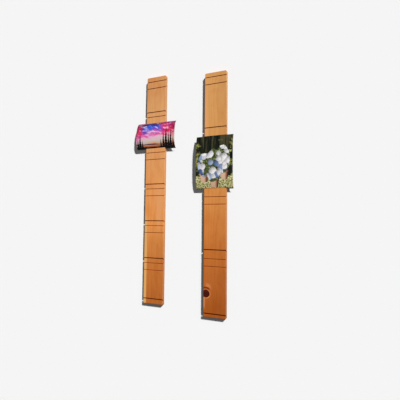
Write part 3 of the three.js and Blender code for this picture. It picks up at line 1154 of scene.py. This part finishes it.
@dataclass
class BowedPrint:
    """One print, tucked into a lower and an upper groove. Lengths are metres."""

    node: str
    body: str
    paper: PrintPaper
    board: str
    width: float
    height: float
    turn: float
    lower_seat: float
    upper_seat: float
    fullness: float
    thickness: float = 0.3 * MM
    groove_angle: float = math.radians(45)
    bend_share: float = 0.6
    handle_share: float = 0.35
    overrun: float = 20 * MM
    fine_rim: float = 12 * MM
    rim_rows: int = 24
    middle_rows: int = 60
    columns: int = 48

    def tuck(self, seat: float, end_slope: float) -> np.ndarray:
        """Line of an edge in its groove: straight up to the bend, then a Bezier curve to the mouth.

        The curve is (1-t)^3 A + 3 (1-t)^2 t B + 3 (1-t) t^2 C + t^3 D, where A lies on the
        groove's slant, B goes on along it, D is the mouth and C is set back from it along the
        bow's own slope. The straight part starts an overrun beyond the edge.

        Args:
            seat: How far the edge reaches into the groove.
            end_slope: How fast the bow stands out as it leaves the mouth.

        Returns:
            Places as (out from the face, up), n by 2, from the overrun to the mouth.
        """
        into = -np.array([math.cos(self.groove_angle), math.sin(self.groove_angle)])
        leaving = np.array([end_slope, 1.0]) / math.hypot(end_slope, 1.0)
        bend = self.bend_share * seat
        handle = self.handle_share * bend
        share = np.linspace(0.0, 1.0, self.rim_rows + 1)[:, None]
        curve = (
            (1 - share) ** 3 * into * bend
            + 3 * (1 - share) ** 2 * share * into * (bend - handle)
            - 3 * (1 - share) * share**2 * leaving * handle
        )
        return np.vstack([into * (seat + self.overrun), curve])

    def centre_line(self) -> tuple[np.ndarray, np.ndarray]:
        """Side view of the sheet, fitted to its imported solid.

        The bow between the mouths stands out by bow * (1 - |2 s - 1| ^ fullness) at the share
        s of the span. Span and bow follow from the solid's box, whose lowest and highest
        points are corners of the turned sheet: each is farther along the line than the
        middle of its edge by width / 2 * sin(turn) - height / 2 * (1 - cos(turn)).

        Returns:
            Places as (Y, Z), n by 2, from below the sheet to above it, and the distance of
            each along the sheet from the middle of its lower edge.
        """
        low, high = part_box(self.node)
        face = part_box(self.board)[0].y
        slant = math.sin(self.groove_angle)
        half = self.thickness / 2
        corner = self.width / 2 * abs(math.sin(self.turn))
        corner -= self.height / 2 * (1 - math.cos(self.turn))
        mouth = low.z + (self.lower_seat + corner + half) * slant
        span = high.z - (self.upper_seat + corner + half) * slant - mouth
        bow = face - low.y - half
        slope = 2 * self.fullness * bow / span
        share = np.arange(1, self.middle_rows * 2) / (self.middle_rows * 2)
        out = bow * (1 - np.abs(2 * share - 1) ** self.fullness)
        lower = self.tuck(self.lower_seat, slope)
        upper = self.tuck(self.upper_seat, slope) * [1, -1] + [0, span]
        line = np.vstack([lower, np.stack([out, share * span], 1), upper[::-1]])
        steps = np.linalg.norm(np.diff(line, axis=0), axis=1)
        lengths = np.concatenate([[0.0], np.cumsum(steps)]) - self.overrun
        return np.stack([face - line[:, 0], mouth + line[:, 1]], 1), lengths

    def build(self) -> bpy.types.Object:
        """Makes the sheet: a flat grid, turned in its own plane and laid along the side view.

        A grid point a across and b up from the sheet's middle goes to X = middle + a cos(turn)
        + b sin(turn), at the distance height / 2 + b cos(turn) - a sin(turn) along the line.
        The front and the back are then moved by half the thickness along the line's normal.

        Returns:
            The sheet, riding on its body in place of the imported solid.
        """
        low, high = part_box(self.node)
        line, lengths = self.centre_line()
        along = np.gradient(line, axis=0)
        along /= np.linalg.norm(along, axis=1)[:, None]
        normal = np.stack([-along[:, 1], along[:, 0]], 1)

        rim = np.linspace(0.0, self.fine_rim, self.rim_rows + 1)
        middle = np.linspace(self.fine_rim, self.height - self.fine_rim, self.middle_rows + 1)
        rows = np.concatenate([rim, middle[1:-1], self.height - rim[::-1]]) / self.height
        v, u = np.meshgrid(rows, np.linspace(0.0, 1.0, self.columns + 1), indexing="ij")
        right = (u - 0.5) * self.width
        up = (v - 0.5) * self.height
        distance = self.height / 2 + up * math.cos(self.turn) - right * math.sin(self.turn)
        centre = np.empty((*u.shape, 3))
        outward = np.zeros_like(centre)
        middle_x = (low.x + high.x) / 2
        centre[..., 0] = middle_x + right * math.cos(self.turn) + up * math.sin(self.turn)
        for axis in (0, 1):
            centre[..., axis + 1] = np.interp(distance, lengths, line[:, axis])
            outward[..., axis + 1] = np.interp(distance, lengths, normal[:, axis])
        aside = outward * self.thickness / 2
        points = np.stack([centre + aside, centre - aside])

        name = self.node.replace("_print", "_bowed_print")
        front, others = self.faces(*u.shape)
        finishes = [self.paper.front(), self.paper.back()]
        sheet = add_mesh(name, points.reshape(-1, 3), np.vstack([front, others]), finishes)
        self.finish(sheet, len(front), np.stack([u, v], -1).reshape(-1, 2))
        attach(sheet, self.body)
        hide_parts(self.node)
        return sheet

    @staticmethod
    def faces(rows: int, columns: int) -> tuple[np.ndarray, np.ndarray]:
        """Corner numbers of a closed sheet: two grids of rows by columns points and their rim.

        Args:
            rows: Points up the sheet.
            columns: Points across it.

        Returns:
            The front's faces, and those of the back and the rim.
        """
        number = np.arange(rows * columns).reshape(rows, columns)
        front = np.stack(
            [number[:-1, :-1], number[:-1, 1:], number[1:, 1:], number[1:, :-1]], -1
        ).reshape(-1, 4)
        back = front[:, ::-1] + number.size
        around = np.concatenate(
            [number[0, :-1], number[:-1, -1], number[-1, :0:-1], number[:0:-1, 0]]
        )
        following = np.roll(around, -1)
        rim = np.stack([following, around, around + number.size, following + number.size], 1)
        return front, np.vstack([back, rim])

    @staticmethod
    def finish(sheet: bpy.types.Object, front_faces: int, places: np.ndarray) -> None:
        """Gives the sheet its picture map, its two finishes and smooth faces with sharp edges.

        Args:
            sheet: The sheet.
            front_faces: How many of its first faces are the picture side.
            places: The place on the picture of each point of one side, n by 2.
        """
        mesh = sheet.data
        slots = (np.arange(len(mesh.polygons)) >= front_faces).astype(np.int32)
        mesh.polygons.foreach_set("material_index", slots)
        corners = np.empty(len(mesh.loops), np.int32)
        mesh.loops.foreach_get("vertex_index", corners)
        layer = mesh.uv_layers.new(name="picture")
        layer.uv.foreach_set("vector", places[corners % len(places)].astype(np.float32).ravel())
        mesh.shade_smooth()
        mesh.set_sharp_from_angle(angle=SHARP_ANGLE)
        mesh.update()


@dataclass
class Board:
    """One grooved board with its hangers and screws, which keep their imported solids."""

    node: str
    wood: OiledWood
    plate: Material
    screw: Material

    def build(self, nodes: dict[str, bpy.types.Object]) -> list[bpy.types.Object]:
        """Dresses the board and all that is fixed to it.

        Args:
            nodes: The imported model's objects by name.

        Returns:
            The dressed pieces, the board first.
        """
        board = nodes[self.node]
        self.dress(board, self.wood.material(*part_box(self.node)))
        fixed = [piece for name, piece in nodes.items() if name.startswith(self.node + "_")]
        for piece in fixed:
            self.dress(piece, self.screw if piece.name.endswith("_screw") else self.plate)
        return [board, *fixed]

    @staticmethod
    def dress(piece: bpy.types.Object, material: Material) -> None:
        """Puts one finish in every material slot of a piece."""
        for slot in piece.material_slots:
            slot.material = material


@dataclass
class Studio:
    """The wall, the lamps and the camera, which aren't part of the object."""

    wall_half: float = 6.0
    wall_gap: float = 0.0004
    pale: Colour = tone(245, 245, 245)
    ambient: float = 0.12
    key_travel: tuple[float, float, float] = (-1.06, 1.0, -1.12)
    key_spread: float = math.radians(4)
    rear_travel: tuple[float, float, float] = (0.35, -1.0, -0.3)
    rear_strength: float = 2.0
    rear_spread: float = math.radians(20)
    camera_place: tuple[float, float, float] = (0.57272, -0.98587, -0.11137)
    camera_azimuth: float = math.radians(22.405)
    camera_elevation: float = math.radians(-3.588)
    camera_roll: float = math.radians(0.496)
    camera_focal_pixels: float = 321.4
    camera_sensor: float = 36.0
    camera_reach: tuple[float, float] = (0.01, 100.0)

    def build(self) -> None:
        """Makes them all.

        The key lamp's strength is pi times what the even light leaves out, over the share of it
        that meets the wall, so that the wall's colour renders as it is written.
        """
        self.add_wall()
        self.add_world()
        key = Vector(self.key_travel).normalized()
        rear = Vector(self.rear_travel).normalized()
        strength = (1.0 - self.ambient) * math.pi / key.y
        self.add_sun("key_lamp", key, strength, self.key_spread)
        self.add_sun("rear_lamp", rear, self.rear_strength, self.rear_spread)
        self.add_camera()

    def add_wall(self) -> None:
        """Makes the plain pale wall, seen only from the front, which takes the object's shadow."""
        half, y = self.wall_half, self.wall_gap
        corners = np.array([[-half, y, -half], [half, y, -half], [half, y, half], [-half, y, half]])
        wall = add_mesh("wall", corners, np.array([[0, 1, 2, 3]]), [self.wall_finish()])

    def wall_finish(self) -> Material:
        """Makes the paint: matt for what looks at it from the front, and clear for all else.

        Returns:
            The material.
        """
        material, graph = new_material("wall_paint")
        seen = graph.ray("Camera").larger(graph.ray("Glossy")).larger(graph.ray("Transmission"))
        behind = Field(graph, graph.node("NewGeometry").outputs["Backfacing"])
        paint = graph.node("BsdfDiffuse", {"Color": self.pale})
        clear = graph.node("BsdfTransparent")
        both = graph.node(
            "MixShader", {0: seen * (1.0 - behind), 1: clear.outputs[0], 2: paint.outputs[0]}
        )
        graph.node("OutputMaterial", {0: both.outputs[0]})
        return material

    def add_world(self) -> None:
        """Makes the air: pale to look at, and a dim even light on the object.

        What gloss shows is pale towards the wall and dims towards the room in front of it.
        """
        world = bpy.data.worlds.new("studio")
        bpy.context.scene.world = world
        graph = Graph.cleared(world)
        _, wallwards, _ = graph.split(graph.node("TexCoord").outputs["Generated"])
        mirrored = graph.ray("Glossy") * wallwards.rise(-0.25, 0.25)
        camera = graph.ray("Camera").larger(graph.ray("Transmission"))
        colour = graph.mix(camera.larger(mirrored), (self.ambient,) * 3, self.pale)
        air = graph.node("Background", {"Color": colour, "Strength": 1.0})
        graph.node("OutputWorld", {0: air.outputs[0]})

    def add_sun(self, name: str, travel: Vector, strength: float, spread: float) -> None:
        """Adds a distant lamp.

        Args:
            name: Its name.
            travel: The direction that its light goes in.
            strength: Its strength.
            spread: The angle that it covers in the sky.
        """
        lamp = bpy.data.lights.new(name, "SUN")
        lamp.energy = strength
        lamp.angle = spread
        made = bpy.data.objects.new(name, lamp)
        made.rotation_euler = travel.to_track_quat("-Z", "Y").to_euler()
        bpy.context.scene.collection.objects.link(made)

    def add_camera(self) -> None:
        """Puts the camera where the photograph was taken from, with its lens."""
        az, el, roll = self.camera_azimuth, self.camera_elevation, self.camera_roll
        look = Vector((-math.sin(az) * math.cos(el), math.cos(az) * math.cos(el), -math.sin(el)))
        level = Vector((math.cos(az), math.sin(az), 0.0))
        above = level.cross(look)
        right = level * math.cos(roll) + above * math.sin(roll)
        up = above * math.cos(roll) - level * math.sin(roll)
        turn = Matrix((right, up, -look)).transposed()
        data = bpy.data.cameras.new("camera")
        data.sensor_width = self.camera_sensor
        data.lens = data.sensor_width * self.camera_focal_pixels / PICTURE_FRAME
        data.clip_start, data.clip_end = self.camera_reach
        made = bpy.data.objects.new("camera", data)
        made.matrix_world = Matrix.Translation(self.camera_place) @ turn.to_4x4()
        bpy.context.scene.collection.objects.link(made)
        bpy.context.scene.camera = made


LANDSCAPE_WOOD = OiledWood(
    name="oiled_wood_landscape",
    tones=(
        (0.02, tone(183, 104, 42)),
        (0.15, tone(194, 115, 50)),
        (0.24, tone(205, 128, 62)),
        (0.34, tone(225, 147, 78)),
        (0.50, tone(225, 152, 88)),
        (0.70, tone(220, 157, 99)),
        (0.86, tone(219, 160, 103)),
        (0.96, tone(211, 148, 92)),
    ),
    pith=(14.0, 74.0),
    ring_width=4.2,
    knot=(300.0, 0.0),
    knot_radius=9.0,
    sapwood=10.0,
    knot_shows=False,
    lean=(0.0014, -0.0010),
    pale_patch=(19.0, -62.0, 14.0, 85.0),
)

PORTRAIT_WOOD = OiledWood(
    name="oiled_wood_portrait",
    tones=(
        (0.03, tone(165, 86, 26)),
        (0.13, tone(180, 100, 40)),
        (0.24, tone(191, 109, 44)),
        (0.36, tone(203, 125, 58)),
        (0.47, tone(211, 138, 70)),
        (0.72, tone(212, 152, 87)),
        (0.96, tone(213, 156, 93)),
    ),
    pith=(30.0, 62.0),
    ring_width=4.6,
    knot=(-29.0, -325.0),
    knot_radius=12.4,
    sapwood=-20.0,
    knot_shows=True,
    lean=(0.0014, 0.0012),
    pale_patch=(-36.0, 200.0, 12.0, 190.0),
)


def main() -> None:
    """Builds the studio, then the holder piece by piece, and reports each piece."""
    logging.basicConfig(level=logging.INFO, format="%(name)s: %(message)s")
    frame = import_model()
    bpy.context.scene.view_settings.view_transform = "Standard"
    Studio().build()
    plate = Zinc("zinc_plate", roughness=0.34, crystal=3.0).material()
    screw = Zinc("zinc_screw", roughness=0.26, crystal=0.8).material()
    boards = (
        Board("landscape_board", LANDSCAPE_WOOD, plate, screw),
        Board("portrait_board", PORTRAIT_WOOD, plate, screw),
    )
    prints = (
        BowedPrint(
            "landscape_print",
            "landscape_print",
            PrintPaper(Picture.DUSK),
            "landscape_board",
            width=152.4 * MM,
            height=101.6 * MM,
            turn=math.radians(1.35),
            lower_seat=6.2 * MM,
            upper_seat=5.6 * MM,
            fullness=3.0,
        ),
        BowedPrint(
            "portrait_print",
            "portrait_print",
            PrintPaper(Picture.GARDEN),
            "portrait_board",
            width=127.0 * MM,
            height=177.8 * MM,
            turn=0.0,
            lower_seat=5.5 * MM,
            upper_seat=1.3 * MM,
            fullness=3.5,
        ),
    )
    pieces = [piece for board in boards for piece in board.build(frame["nodes"])]
    pieces += [sheet.build() for sheet in prints]
    for piece in pieces:
        log.info("%s: %d faces", piece.name, len(piece.data.polygons))


if __name__ == "__main__":
    main()
